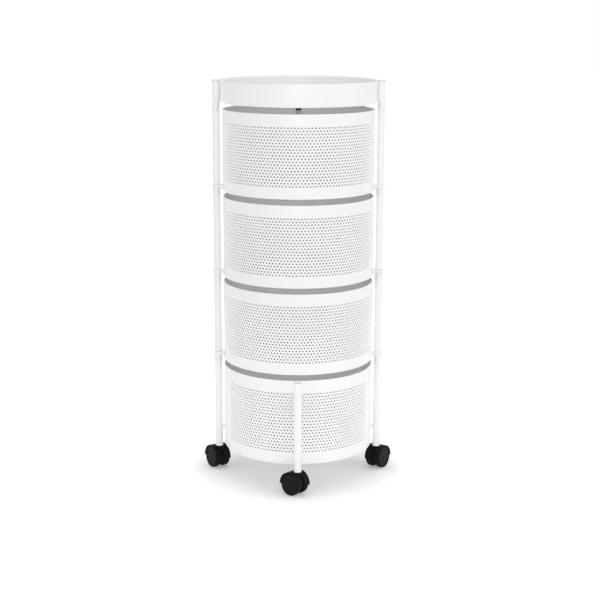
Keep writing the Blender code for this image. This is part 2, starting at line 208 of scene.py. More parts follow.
# Stage, with each lamp's place, aim, size, power and spread
STAGE_HALF = 14.0
STAGE_GREY = (0.9, 0.9, 0.9, 1.0)
STAGE_FADE = (0.1, 0.45)
STAGE_SHOWN = (0.12, 1.0)
WHITE = (1.0, 1.0, 1.0, 1.0)
AMBIENT = 0.71
LIGHT_BOUNCES = 12
TOWER_MIDDLE = (0.0, 0.0, 0.4)
TOWER_FOOT = (0.0, 0.0, 0.06)
WIDE = math.pi
NARROW = math.radians(28)
LAMPS = {
    "lens_box": ((0.0, -2.62, 0.918), TOWER_MIDDLE, 0.12, 11.5, WIDE),
    "low_left_box": ((-0.95, -0.85, 0.1), TOWER_FOOT, 0.3, 0.046, NARROW),
    "low_right_box": ((0.95, -0.85, 0.1), TOWER_FOOT, 0.3, 0.046, NARROW),
    "left_box": ((-1.9, -2.2, 0.8), TOWER_MIDDLE, 1.8, 1.0, WIDE),
    "right_box": ((2.4, -0.8, 1.2), TOWER_MIDDLE, 1.8, 7.5, WIDE),
    "rear_box": ((-1.0, 2.4, 1.3), TOWER_MIDDLE, 1.8, 4.0, WIDE),
}

# Camera
CAMERA_PLACE = (0.0037, -2.5375, 0.9038)
CAMERA_SENSOR = 36.0
CAMERA_LENS = 79.709
CAMERA_PITCH = math.radians(12.464)
CAMERA_ROLL = math.radians(0.1718)
CAMERA_FAR = 60.0


# Node helpers

def feed(tree, node, inputs):
    """Sets a node's inputs, by name or number, to values or to other nodes' outputs."""
    for key, value in inputs.items():
        if isinstance(value, bpy.types.NodeSocket):
            tree.links.new(value, node.inputs[key])
        else:
            node.inputs[key].default_value = value


def add_node(tree, kind, inputs=None, **settings):
    node = tree.nodes.new(kind)
    for name, value in settings.items():
        setattr(node, name, value)
    feed(tree, node, inputs or {})
    return node


def new_group(name, kind, inputs, outputs):
    """A node group with named sockets, given as name and type, and what its inputs give."""
    tree = bpy.data.node_groups.new(name, kind)
    for side, sockets in (("INPUT", inputs), ("OUTPUT", outputs)):
        for label, socket in sockets.items():
            tree.interface.new_socket(label, in_out=side, socket_type=f"NodeSocket{socket}")
    return tree, tree.nodes.new("NodeGroupInput").outputs


def calc(tree, operation, first, second=0.0):
    node = add_node(tree, "ShaderNodeMath", {0: first, 1: second}, operation=operation)
    return node.outputs[0]


def mapped(tree, value, span, onto=(0.0, 1.0), **settings):
    """A value stretched from one span onto another and held at its ends."""
    node = add_node(tree, "ShaderNodeMapRange", {
        "Value": value,
        "From Min": span[0],
        "From Max": span[1],
        "To Min": onto[0],
        "To Max": onto[1],
    }, **settings)
    return node.outputs[0]


def blended(tree, share, first, second):
    """A colour between two colours."""
    node = add_node(tree, "ShaderNodeMix", {0: share, 6: first, 7: second}, data_type="RGBA")
    return node.outputs[2]


# Shader groups and finishes

def grain_group():
    """Fine and broad grain over a piece, from its own coordinates."""
    sizes = {"Fine scale": "Float", "Broad scale": "Float"}
    tree, given = new_group("surface_grain", "ShaderNodeTree", sizes, {"Fine": "Float", "Broad": "Float"})
    place = tree.nodes.new("ShaderNodeTexCoord").outputs["Object"]
    grain = {}
    for name, detail in GRAIN_DETAIL.items():
        noise = add_node(tree, "ShaderNodeTexNoise", {
            "Vector": place,
            "Scale": given[f"{name} scale"],
            "Detail": detail,
        })
        grain[name] = noise.outputs["Fac"]
    add_node(tree, "NodeGroupOutput", grain)
    return tree


def wear_group():
    """A patchy mask along rounded edges, from how far the surface turns there and the broad grain."""
    masks = {"Edge": "Float", "Broad": "Float", "Amount": "Float"}
    tree, given = new_group("edge_wear", "ShaderNodeTree", masks, {"Mask": "Float"})
    patches = mapped(tree, given["Broad"], WORN_PATCHES)
    worn = calc(tree, "MULTIPLY", given["Edge"], patches)
    add_node(tree, "NodeGroupOutput", {"Mask": calc(tree, "MULTIPLY", worn, given["Amount"])})
    return tree


def blend_group():
    """Colour, roughness and normal that wander between two values with the grain, and worn edges."""
    inputs = {
        "Fine": "Float",
        "Broad": "Float",
        "Dark tone": "Color",
        "Light tone": "Color",
        "Smooth": "Float",
        "Rough": "Float",
        "Relief": "Float",
        "Wear": "Float",
        "Worn tone": "Color",
    }
    outputs = {"Colour": "Color", "Roughness": "Float", "Normal": "Vector"}
    tree, given = new_group("finish_blend", "ShaderNodeTree", inputs, outputs)
    spread = mapped(tree, given["Broad"], TONE_SPAN)
    colour = blended(tree, spread, given["Dark tone"], given["Light tone"])
    both = calc(tree, "ADD", given["Fine"], given["Broad"])
    bump = add_node(tree, "ShaderNodeBump", {
        "Height": given["Fine"],
        "Distance": given["Relief"],
        "Strength": 1.0,
    })
    add_node(tree, "NodeGroupOutput", {
        "Colour": blended(tree, given["Wear"], colour, given["Worn tone"]),
        "Roughness": mapped(tree, both, GLOSS_SPAN, (given["Smooth"], given["Rough"])),
        "Normal": bump.outputs[0],
    })
    return tree


GRAIN = grain_group()
WEAR = wear_group()
FINISH = blend_group()


def grained_finish(name, tones, roughness, scales, relief, worn, wear, metallic=0.0, gloss=0.5):
    """A finish whose tone, gloss and surface wander with a fine and a broad grain and wear at edges."""
    material = bpy.data.materials.new(name)
    material.use_nodes = True
    tree = material.node_tree
    grain = add_node(tree, "ShaderNodeGroup", {
        "Fine scale": scales[0],
        "Broad scale": scales[1],
    }, node_tree=GRAIN)
    edge = add_node(tree, "ShaderNodeAttribute", attribute_name="edge")
    rub = add_node(tree, "ShaderNodeGroup", {
        "Edge": edge.outputs["Fac"],
        "Broad": grain.outputs["Broad"],
        "Amount": wear,
    }, node_tree=WEAR)
    finish = add_node(tree, "ShaderNodeGroup", {
        "Fine": grain.outputs["Fine"],
        "Broad": grain.outputs["Broad"],
        "Dark tone": (*tones[0], 1.0),
        "Light tone": (*tones[1], 1.0),
        "Smooth": roughness[0],
        "Rough": roughness[1],
        "Relief": relief,
        "Wear": rub.outputs["Mask"],
        "Worn tone": (*worn, 1.0),
    }, node_tree=FINISH)
    feed(tree, tree.nodes["Principled BSDF"], {
        "Metallic": metallic,
        "Specular IOR Level": gloss,
        "Base Color": finish.outputs["Colour"],
        "Roughness": finish.outputs["Roughness"],
        "Normal": finish.outputs["Normal"],
    })
    return material


WHITE_COAT = grained_finish(
    "white_powder_coat",
    tones=((0.915, 0.916, 0.92), (0.932, 0.932, 0.932)),
    roughness=(0.34, 0.46),
    scales=(850.0, 7.0),
    relief=0.00006,
    worn=(0.78, 0.78, 0.77),
    wear=0.4,
)
WHITE_CAP = grained_finish(
    "white_cap_plastic",
    tones=((0.83, 0.83, 0.835), (0.855, 0.855, 0.855)),
    roughness=(0.4, 0.5),
    scales=(1600.0, 30.0),
    relief=0.00003,
    worn=(0.74, 0.74, 0.73),
    wear=0.4,
)
BLACK_MOULDING = grained_finish(
    "black_moulded_plastic",
    tones=((0.0035, 0.0035, 0.0037), (0.0065, 0.0065, 0.0067)),
    roughness=(0.46, 0.62),
    scales=(2600.0, 60.0),
    relief=0.00008,
    worn=(0.02, 0.02, 0.021),
    wear=0.6,
    gloss=0.1,
)
BLACK_WHEEL = grained_finish(
    "black_wheel_plastic",
    tones=((0.0045, 0.0045, 0.0047), (0.008, 0.008, 0.0082)),
    roughness=(0.5, 0.68),
    scales=(1900.0, 90.0),
    relief=0.00006,
    worn=(0.022, 0.022, 0.022),
    wear=0.7,
    gloss=0.12,
)
PEG_STEEL = grained_finish(
    "dull_peg_steel",
    tones=((0.27, 0.27, 0.275), (0.33, 0.33, 0.33)),
    roughness=(0.5, 0.65),
    scales=(1300.0, 90.0),
    relief=0.00004,
    worn=(0.42, 0.42, 0.42),
    wear=0.5,
    gloss=0.3,
)
ZINC = grained_finish(
    "zinc_plated_steel",
    tones=((0.47, 0.48, 0.50), (0.58, 0.585, 0.58)),
    roughness=(0.28, 0.44),
    scales=(1300.0, 80.0),
    relief=0.00003,
    worn=(0.66, 0.66, 0.65),
    wear=0.5,
    metallic=1.0,
)
PAD_RUBBER = grained_finish(
    "black_pad_rubber",
    tones=((0.004, 0.004, 0.004), (0.007, 0.007, 0.007)),
    roughness=(0.75, 0.9),
    scales=(2200.0, 120.0),
    relief=0.0001,
    worn=(0.014, 0.014, 0.014),
    wear=0.5,
    gloss=0.1,
)


# Outlines

def rounded(corners, closed=False):
    """Rounds the corners of an outline. A corner is (across, up) or (across, up, radius)."""
    points = []
    last = len(corners) - 1
    for index, corner in enumerate(corners):
        here = Vector(corner[:2])
        if len(corner) < 3 or (not closed and index in (0, last)):
            points.append(tuple(here))
            continue
        back = Vector(corners[index - 1][:2]) - here
        ahead = Vector(corners[(index + 1) % len(corners)][:2]) - here
        turn = math.pi - back.angle(ahead)
        most = (ROUND_REACH * back.length, ROUND_REACH * ahead.length)
        reach = min(corner[2] * math.tan(turn / 2), *most)
        radius = reach / math.tan(turn / 2)
        back.normalize()
        ahead.normalize()
        middle = here + (back + ahead).normalized() * math.hypot(reach, radius)
        first, final = here + back * reach - middle, here + ahead * reach - middle
        parts = max(2, math.ceil(turn / ROUND_STEP))
        for part in range(parts + 1):
            share = part / parts
            arm = first * math.sin((1 - share) * turn) + final * math.sin(share * turn)
            points.append(tuple(middle + arm / math.sin(turn)))
    return points


def arc(radius, start, finish, parts):
    """Points on an arc about the origin, with both its ends."""
    angles = [start + (finish - start) * part / parts for part in range(parts + 1)]
    return [(radius * math.cos(angle), radius * math.sin(angle)) for angle in angles]


def mirrored(corners):
    """The same corners on the other side, in the order that carries an outline on."""
    return [(-corner[0], *corner[1:]) for corner in reversed(corners)]


# Shapes

def skin(shape, rings):
    """Joins each ring of points to the next one by a band of faces."""
    for first, final in zip(rings, rings[1:]):
        for index in range(len(first)):
            ahead = (index + 1) % len(first)
            shape.faces.new((first[index], first[ahead], final[ahead], final[index]))


def lathe(shape, outline, steps, centre=(0.0, 0.0), closed=False):
    """Turns an outline of (radius, height) about an upright line and adds it to a shape."""
    rings = []
    for radius, height in outline:
        if radius < NEARLY_ZERO:
            rings.append([shape.verts.new((*centre, height))])
            continue
        ring = []
        for step in range(steps):
            angle = 2 * math.pi * step / steps
            x, y = centre[0] + radius * math.sin(angle), centre[1] - radius * math.cos(angle)
            ring.append(shape.verts.new((x, y, height)))
        rings.append(ring)
    pairs = list(zip(rings, rings[1:]))
    if closed:
        pairs.append((rings[-1], rings[0]))
    for low, high in pairs:
        for step in range(steps):
            ahead = step + 1
            corners = [low[step % len(low)], low[ahead % len(low)]]
            corners += [high[ahead % len(high)], high[step % len(high)]]
            corners = list(dict.fromkeys(corners))
            if len(corners) > 2:
                shape.faces.new(corners)
    return shape


def turned(corners, steps, centre=(0.0, 0.0), closed=False):
    """A turned shape from the corners of its outline."""
    return lathe(bmesh.new(), rounded(corners, closed), steps, centre, closed)


def rod(radius, low, high, steps=PIN_STEPS, edge=EDGE_ROUND, centre=(0.0, 0.0)):
    corners = [(0, low), (radius, low, edge), (radius, high, edge), (0, high)]
    return turned(corners, steps, centre)


def prism(outline, low, high):
    """Raises a flat outline of (x, y) points from one height to another."""
    shape = bmesh.new()
    floor = [shape.verts.new((x, y, low)) for x, y in outline]
    roof = [shape.verts.new((x, y, high)) for x, y in outline]
    shape.faces.new(floor)
    shape.faces.new(roof)
    skin(shape, [floor, roof])
    return shape


def soften(shape, width):
    """Rounds every sharp edge of a shape."""
    bmesh.ops.recalc_face_normals(shape, faces=shape.faces)
    edges = [edge for edge in shape.edges if edge.calc_face_angle(0.0) > SOFT_EDGE_ANGLE]
    bmesh.ops.bevel(
        shape,
        geom=edges,
        offset=width,
        segments=SOFT_EDGE_PARTS,
        profile=0.5,
        affect="EDGES",
        clamp_overlap=True,
    )
    return shape


def moved(shape, matrix):
    bmesh.ops.transform(shape, matrix=matrix, verts=shape.verts)
    return shape


def shape_of(mesh):
    shape = bmesh.new()
    shape.from_mesh(mesh)
    return shape


def merged(*shapes):
    """Puts several shapes into one."""
    whole = bmesh.new()
    for shape in shapes:
        mesh = bpy.data.meshes.new("part")
        shape.to_mesh(mesh)
        shape.free()
        whole.from_mesh(mesh)
        bpy.data.meshes.remove(mesh)
    return whole


def cleaned(shape, weld=POINT_WELD):
    """Merges points that coincide and turns the faces outwards."""
    bmesh.ops.remove_doubles(shape, verts=shape.verts, dist=weld)
    bmesh.ops.recalc_face_normals(shape, faces=shape.faces)
    return shape


def as_mesh(name, shape):
    mesh = bpy.data.meshes.new(name)
    cleaned(shape).to_mesh(mesh)
    shape.free()
    return mesh


# Objects and pieces

def new_object(name, data):
    """Puts a mesh, lamp or camera into the scene."""
    item = bpy.data.objects.new(name, data)
    bpy.context.scene.collection.objects.link(item)
    return item


def taken_out(item):
    """The shape that an object's modifiers give it. The object leaves the scene."""
    graph = bpy.context.evaluated_depsgraph_get()
    mesh = bpy.data.meshes.new_from_object(item.evaluated_get(graph))
    bpy.data.objects.remove(item, do_unlink=True)
    shape = shape_of(mesh)
    bpy.data.meshes.remove(mesh)
    return shape


def carved(start, steps):
    """One shape from a start and (operation, shape) steps."""
    tools = []
    base = new_object("blank", as_mesh("blank", start))
    for operation, shape in steps:
        tool = new_object("tool", as_mesh("tool", shape))
        modifier = base.modifiers.new(operation, "BOOLEAN")
        modifier.operation = operation
        modifier.solver = "EXACT"
        modifier.object = tool
        tools.append(tool)
    shape = taken_out(base)
    for tool in tools:
        bpy.data.objects.remove(tool, do_unlink=True)
    return shape


def run_tree(tree, mesh, settings):
    """Runs a node tree on a mesh and returns the shape that it makes."""
    carrier = new_object("carrier", mesh)
    modifier = carrier.modifiers.new("tree", "NODES")
    modifier.node_group = tree
    for item in tree.interface.items_tree:
        if item.in_out == "INPUT" and item.name in settings:
            modifier[item.identifier] = settings[item.name]
    return taken_out(carrier)


def mark_edges(shape):
    """Keeps at each point how far the surface turns over a rounded edge there."""
    start, full, sharp = WORN_TURN
    marks = shape.verts.layers.float.new("edge")
    for edge in shape.edges:
        turn = edge.calc_face_angle_signed(0.0)
        if start < turn < sharp:
            share = min(1.0, (turn - start) / (full - start))
            for vertex in edge.verts:
                vertex[marks] = max(vertex[marks], share)


def add_piece(name, shape, body, finish, *nodes, weld=POINT_WELD):
    """Finishes a shape as a piece that rides on a body and stands for CAD nodes."""
    mark_edges(cleaned(shape, weld))
    mesh = as_mesh(name, shape)
    mesh.materials.append(finish)
    mesh.shade_smooth()
    mesh.set_sharp_from_angle(angle=SMOOTH_ANGLE)
    piece = new_object(name, mesh)
    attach(piece, body)
    if nodes:
        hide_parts(*nodes)


def heights(node):
    """The lowest and highest level of a CAD node."""
    low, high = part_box(node)
    return low.z, high.z


# Perforated drums

def field_cell(width, height, hole):
    """One brick of sheet, flat in XZ with its outer face at y = 0. It is plain where hole is zero."""
    shape = bmesh.new()
    rim = [(-1, -1), (0, -1), (1, -1), (1, 0), (1, 1), (0, 1), (-1, 1), (-1, 0)]
    first_corner = 0.75 * math.pi
    holes = []
    for depth in (0.0, SHEET):
        outer = [shape.verts.new((x * width / 2, depth, z * height / 2)) for x, z in rim]
        if not hole:
            shape.faces.new(outer)
            continue
        inner = []
        for side in range(HOLE_SIDES):
            angle = 2 * math.pi * side / HOLE_SIDES - first_corner
            x, z = hole / 2 * math.cos(angle), hole / 2 * math.sin(angle)
            inner.append(shape.verts.new((x, depth, z)))
        per = HOLE_SIDES / len(rim)
        for index in range(len(rim)):
            first, final = math.ceil(per * (index - 0.5)), math.ceil(per * (index + 0.5))
            for side in range(first, final):
                ahead = (side + 1) % HOLE_SIDES
                shape.faces.new((outer[index], inner[side % HOLE_SIDES], inner[ahead]))
            beside = (index + 1) % len(rim)
            shape.faces.new((outer[index], inner[final % HOLE_SIDES], outer[beside]))
        holes.append(inner)
    skin(shape, holes)
    return shape


def position(tree):
    """The X, Y and Z of each point at this step of a tree."""
    place = tree.nodes.new("GeometryNodeInputPosition")
    return add_node(tree, "ShaderNodeSeparateXYZ", {0: place.outputs[0]}).outputs


def drum_field_tree():
    """Lays bricks of sheet in staggered rows and rolls them into a drum."""
    inputs = {
        "Geometry": "Geometry",
        "Plain brick": "Object",
        "Rows": "Int",
        "Holes round": "Int",
        "Row pitch": "Float",
        "First row": "Float",
        "Radius": "Float",
        "Field half angle": "Float",
        "Plain spot height": "Float",
        "Plain spot radius": "Float",
        "Finish": "Material",
    }
    tree, given = new_group("perforated_drum", "GeometryNodeTree", inputs, {"Geometry": "Geometry"})
    # A flat grid of places, every second row moved by half a pitch
    girth = calc(tree, "MULTIPLY", given["Radius"], 2 * math.pi)
    pitch = calc(tree, "DIVIDE", girth, given["Holes round"])
    length = calc(tree, "SUBTRACT", girth, pitch)
    height = calc(tree, "MULTIPLY", given["Row pitch"], calc(tree, "SUBTRACT", given["Rows"], 1.0))
    grid = add_node(tree, "GeometryNodeMeshGrid", {
        "Size X": length,
        "Size Y": height,
        "Vertices X": given["Holes round"],
        "Vertices Y": given["Rows"],
    })
    flat = position(tree)
    level = calc(tree, "ADD", flat["Y"], calc(tree, "MULTIPLY", height, 0.5))
    row = calc(tree, "ROUND", calc(tree, "DIVIDE", level, given["Row pitch"]))
    odd = calc(tree, "FLOORED_MODULO", row, 2.0)
    stagger = calc(tree, "MULTIPLY", odd, calc(tree, "MULTIPLY", pitch, 0.5))
    place = add_node(tree, "ShaderNodeCombineXYZ", {
        "X": calc(tree, "ADD", flat["X"], stagger),
        "Z": calc(tree, "ADD", level, given["First row"]),
    })
    spots = add_node(tree, "GeometryNodeSetPosition", {
        "Geometry": grid.outputs["Mesh"],
        "Position": place.outputs[0],
    })
    # Holes within the field, away from the plain spot
    spot = position(tree)
    angle = calc(tree, "ABSOLUTE", calc(tree, "DIVIDE", spot["X"], given["Radius"]))
    in_field = calc(tree, "LESS_THAN", angle, given["Field half angle"])
    above = calc(tree, "SUBTRACT", spot["Z"], given["Plain spot height"])
    across = calc(tree, "MULTIPLY", spot["X"], spot["X"])
    away = calc(tree, "SQRT", calc(tree, "ADD", across, calc(tree, "MULTIPLY", above, above)))
    clear = calc(tree, "GREATER_THAN", away, given["Plain spot radius"])
    pierced = calc(tree, "MULTIPLY", in_field, clear)
    brick = add_node(tree, "GeometryNodeObjectInfo", {"Object": given["Plain brick"]})
    with_holes = add_node(tree, "GeometryNodeInstanceOnPoints", {
        "Points": spots.outputs[0],
        "Selection": pierced,
        "Instance": given["Geometry"],
    })
    without = add_node(tree, "GeometryNodeInstanceOnPoints", {
        "Points": spots.outputs[0],
        "Selection": calc(tree, "SUBTRACT", 1.0, pierced),
        "Instance": brick.outputs["Geometry"],
    })
    joined = tree.nodes.new("GeometryNodeJoinGeometry")
    for bricks in (with_holes, without):
        tree.links.new(bricks.outputs[0], joined.inputs[0])
    real = add_node(tree, "GeometryNodeRealizeInstances", {"Geometry": joined.outputs[0]})
    # The flat field rolled round the drum
    sheet = position(tree)
    turn = calc(tree, "DIVIDE", sheet["X"], given["Radius"])
    reach = calc(tree, "SUBTRACT", given["Radius"], sheet["Y"])
    forward = calc(tree, "MULTIPLY", reach, calc(tree, "COSINE", turn))
    rolled = add_node(tree, "ShaderNodeCombineXYZ", {
        "X": calc(tree, "MULTIPLY", reach, calc(tree, "SINE", turn)),
        "Y": calc(tree, "MULTIPLY", forward, -1.0),
        "Z": sheet["Z"],
    })
    drum = add_node(tree, "GeometryNodeSetPosition", {
        "Geometry": real.outputs[0],
        "Position": rolled.outputs[0],
    })
    welded = add_node(tree, "GeometryNodeMergeByDistance", {
        "Geometry": drum.outputs[0],
        "Distance": FIELD_WELD,
    })
    painted = add_node(tree, "GeometryNodeSetMaterial", {
        "Geometry": welded.outputs[0],
        "Material": given["Finish"],
    })
    add_node(tree, "NodeGroupOutput", {"Geometry": painted.outputs[0]})
    return tree


def hemmed_rim(radius, top):
    """The corners of a rim that is folded inwards, from outside to inside."""
    inner, hem, foot = radius - SHEET, radius - HEM_WIDTH, top - HEM_DEPTH
    return [
        (radius, top, RIM_ROUND),
        (hem, top, RIM_ROUND),
        (hem, foot, HEM_ROUND),
        (inner, foot - (inner - hem), HEM_ROUND),
    ]


def perforated_wall(tree, bottom, height, field, spot_height=0.0, spot_radius=0.0):
    """A drum wall: a rolled field of holes between a plain foot and a hemmed rim."""
    first = FIRST_ROW_SHARE * height
    row_pitch = (LAST_ROW_SHARE - FIRST_ROW_SHARE) * height / (HOLE_ROWS - 1)
    width = 2 * math.pi * DRUM_RADIUS / HOLES_ROUND
    brick = new_object("plain_brick", as_mesh("plain_brick", field_cell(width, row_pitch, 0.0)))
    pierced = as_mesh("pierced_brick", field_cell(width, row_pitch, HOLE_DIAMETER))
    shape = run_tree(tree, pierced, {
        "Plain brick": brick,
        "Row pitch": row_pitch,
        "First row": bottom + first,
        "Rows": HOLE_ROWS,
        "Holes round": HOLES_ROUND,
        "Radius": DRUM_RADIUS,
        "Field half angle": field,
        "Plain spot height": bottom + spot_height,
        "Plain spot radius": spot_radius,
        "Finish": WHITE_COAT,
    })
    bpy.data.objects.remove(brick, do_unlink=True)
    outer, inner = DRUM_RADIUS, DRUM_RADIUS - SHEET
    foot_top = bottom + first - row_pitch / 2
    field_top = foot_top + HOLE_ROWS * row_pitch
    foot = [
        (inner, foot_top),
        (inner, bottom, SHEET_ROUND),
        (outer, bottom, SHEET_ROUND),
        (outer, foot_top),
    ]
    head = [(outer, field_top), *hemmed_rim(DRUM_RADIUS, bottom + height), (inner, field_top)]
    for corners in (foot, head):
        lathe(shape, rounded(corners), FINE_STEPS)
    return shape


def spot_weld():
    """A pressed weld mark under the coat, one unit across: a low ring round a dimple."""
    dimple = [(0, 0.03), (0.2, 0.035)]
    ring = [(0.33, 0.06), (0.42, 0.045), (0.5, 0)]
    seat = [(0.5, -0.02), (0, -0.02)]
    return lathe(bmesh.new(), dimple + ring + seat, SPOT_STEPS)


def lap_seam(low, high):
    """The lapped edge of the rolled sheet, with a row of spot welds."""
    half = SEAM_WIDTH / 2 / DRUM_RADIUS
    turns = [SEAM_PLACE - half + 2 * half * step / SEAM_STEPS for step in range(SEAM_STEPS + 1)]
    outside = [(DRUM_RADIUS + SEAM_PROUD, turn) for turn in turns]
    inside = [(DRUM_RADIUS - SHEET / 2, turn) for turn in reversed(turns)]
    outline = [(reach * math.sin(turn), -reach * math.cos(turn)) for reach, turn in outside + inside]
    strip = soften(prism(outline, low, high), SEAM_ROUND)
    outward = Vector((math.sin(SEAM_PLACE), -math.cos(SEAM_PLACE), 0.0))
    first, last = low + SEAM_MARGIN, high - SEAM_MARGIN
    places = []
    for step in range(SEAM_SPOTS):
        height = first + (last - first) * step / (SEAM_SPOTS - 1)
        places.append((outward * (DRUM_RADIUS + SEAM_PROUD) + Vector((0, 0, height)), outward))
    return merged(strip, set_on(places, spot_weld(), SEAM_SPOT, WHITE_COAT))


def floor_pan(bottom):
    """A pressed floor with its edge turned down and a stiffening groove."""
    edge = DRUM_RADIUS - SHEET - SEAT_GAP
    top = bottom + FLOOR_FLANGE
    upper = [(radius, top + drop, GROOVE_ROUND) for radius, drop in FLOOR_GROOVE]
    lower = [(radius, top - SHEET + drop, GROOVE_ROUND) for radius, drop in reversed(FLOOR_GROOVE)]
    corners = [
        (0, top),
        *upper,
        (edge, top, FLOOR_BEND),
        (edge, bottom, EDGE_ROUND),
        (edge - SHEET, bottom, EDGE_ROUND),
        (edge - SHEET, top - SHEET, FLOOR_INNER_BEND),
        *lower,
        (0, top - SHEET),
    ]
    return turned(corners, FLOOR_STEPS)


def tray_pan(bottom, height):
    """A shallow pressed tray with a rounded foot and a rolled rim."""
    corners = [
        (0, bottom + SHEET),
        (TRAY_RADIUS - SHEET, bottom + SHEET, TRAY_CORNER),
        *reversed(hemmed_rim(TRAY_RADIUS, bottom + height)),
        (TRAY_RADIUS, bottom, TRAY_CORNER + SHEET),
        (0, bottom),
    ]
    return turned(corners, TRAY_STEPS)


# Posts, legs and their fittings

def tube_seat(node):
    """The height at which a tube's full width starts, above its spigot."""
    points = [vertex.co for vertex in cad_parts[node].data.vertices]
    side = -POST_OFFSET if node.startswith("left") else POST_OFFSET
    full = TUBE_RADIUS - TUBE_WALL / 4
    return min(point.z for point in points if math.hypot(point.x - side, point.y) > full)


def post_tube(node, place):
    """A tube with rolled lips, drawn in to a spigot at its foot where the CAD tube has one."""
    foot, high = heights(node)
    low = foot if node.endswith("_leg") else tube_seat(node)
    bore = TUBE_RADIUS - TUBE_WALL
    corners = [(TUBE_RADIUS, high, TUBE_LIP), (TUBE_RADIUS, low, TUBE_LIP)]
    if foot < low:
        inside = SPIGOT_RADIUS - TUBE_WALL
        corners += [(SPIGOT_RADIUS, low, EDGE_ROUND), (SPIGOT_RADIUS, foot, EDGE_ROUND)]
        corners += [(inside, foot), (inside, low + TUBE_WALL), (bore, low + TUBE_WALL)]
    else:
        corners += [(bore, low, FINE_ROUND)]
    corners += [(bore, high, FINE_ROUND)]
    return turned(corners, TUBE_STEPS, place, closed=True)


def below(top, corners):
    """Corners of (radius, drop, round) set out below a top."""
    return [(radius, top - drop, bend) for radius, drop, bend in corners]


def post_cap(place, low, high):
    """A plastic plug with a low dome."""
    seat = high - CAP_RIM
    corners = [
        (0, high),
        *below(high, CAP_DOME),
        (TUBE_RADIUS, seat, FINE_ROUND),
        (SPIGOT_RADIUS, seat),
        (SPIGOT_RADIUS - CAP_TAPER, low, FITTING_ROUND),
        (0, low),
    ]
    return turned(corners, TUBE_STEPS, place)


def short_leg(place, low, high):
    """A short tube with a pressed crown."""
    bore = TUBE_RADIUS - TUBE_WALL
    corners = [
        (0, high),
        *below(high, LEG_CROWN),
        (TUBE_RADIUS, low, TUBE_LIP),
        (bore, low, FINE_ROUND),
        (bore, high - CROWN_THICKNESS),
        (0, high - CROWN_THICKNESS),
    ]
    return turned(corners, TUBE_STEPS, place)


def spacer_sleeve(foot):
    """A short sleeve between the drum and a post, along the line from the middle to the post."""
    low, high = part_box(f"{foot}_spacer")
    middle = (low + high) / 2
    x, y = FEET[foot]
    length = (high - low).x if y == 0 else (high - low).y
    half = length / 2
    sleeve = rod((high - low).z / 2, -half, half, edge=FITTING_ROUND)
    outward = Vector((x, y, 0)).to_track_quat("Z", "Y").to_matrix().to_4x4()
    return moved(sleeve, Matrix.Translation(middle) @ outward)


# Pivot rings, hooks and the stop

def facing_drum(side):
    """From a fitting's own frame, local X towards the drum, to the left (-1) or right (1) post."""
    turn = 0 if side < 0 else math.pi
    return Matrix.Translation((side * POST_OFFSET, 0, 0)) @ Matrix.Rotation(turn, 4, "Z")


def weld_bead(low, high):
    """A rippled bead round the end of a tab, where it meets the drum. Local X points at the drum."""
    bottom, top = low - BEAD_OVERLAP, high + BEAD_OVERLAP
    side = TAB_HALF_WIDTH + BEAD_OVERLAP
    square = [(-side, bottom), (side, bottom), (side, top), (-side, top)]
    corners = rounded([(*corner, BEAD_CORNER) for corner in square], closed=True)
    path = []
    for index, corner in enumerate(corners):
        first, final = Vector(corner), Vector(corners[(index + 1) % len(corners)])
        parts = max(1, round((final - first).length / BEAD_STEP))
        path += [first.lerp(final, part / parts) for part in range(parts)]
    shape = bmesh.new()
    middle = Vector((0.0, (bottom + top) / 2))
    rings = []
    for index, point in enumerate(path):
        outward = (point - middle).normalized()
        swell = BEAD_RADIUS * (1 + BEAD_SWELL * math.sin(index * 2 * math.pi / BEAD_WAVE_STEPS))
        ring = []
        for step in range(BEAD_SIDES):
            angle = 2 * math.pi * step / BEAD_SIDES
            reach = point + outward * swell * math.cos(angle)
            ring.append(shape.verts.new((TAB_REACH + swell * math.sin(angle), reach.x, reach.y)))
        rings.append(ring)
    skin(shape, [*rings, rings[0]])
    return shape


def pivot_ring(low, high):
    """A ring round the post's spigot with a tab to the drum, along local X."""
    corner = math.atan2(TAB_HALF_WIDTH, TAB_REACH)
    angles = [2 * math.pi * step / RING_STEPS - math.pi for step in range(RING_STEPS)]
    angles = sorted([*angles, corner, -corner])
    shape = bmesh.new()
    loops = []
    for height in (low, high):
        outer, inner = [], []
        for angle in angles:
            x, y = math.cos(angle), math.sin(angle)
            reach = RING_RADIUS
            if x > 0:
                reach = max(reach, min(TAB_REACH / x, TAB_HALF_WIDTH / max(abs(y), NEARLY_ZERO)))
            outer.append(shape.verts.new((reach * x, reach * y, height)))
            inner.append(shape.verts.new((RING_BORE * x, RING_BORE * y, height)))
        loops += [outer, inner]
    floor_outer, floor_inner, roof_outer, roof_inner = loops
    flats = [(floor_outer, floor_inner), (roof_outer, roof_inner)]
    sides = [(floor_outer, roof_outer), (floor_inner, roof_inner)]
    for pair in flats + sides:
        skin(shape, pair)
    return soften(shape, PIN_ROUND)


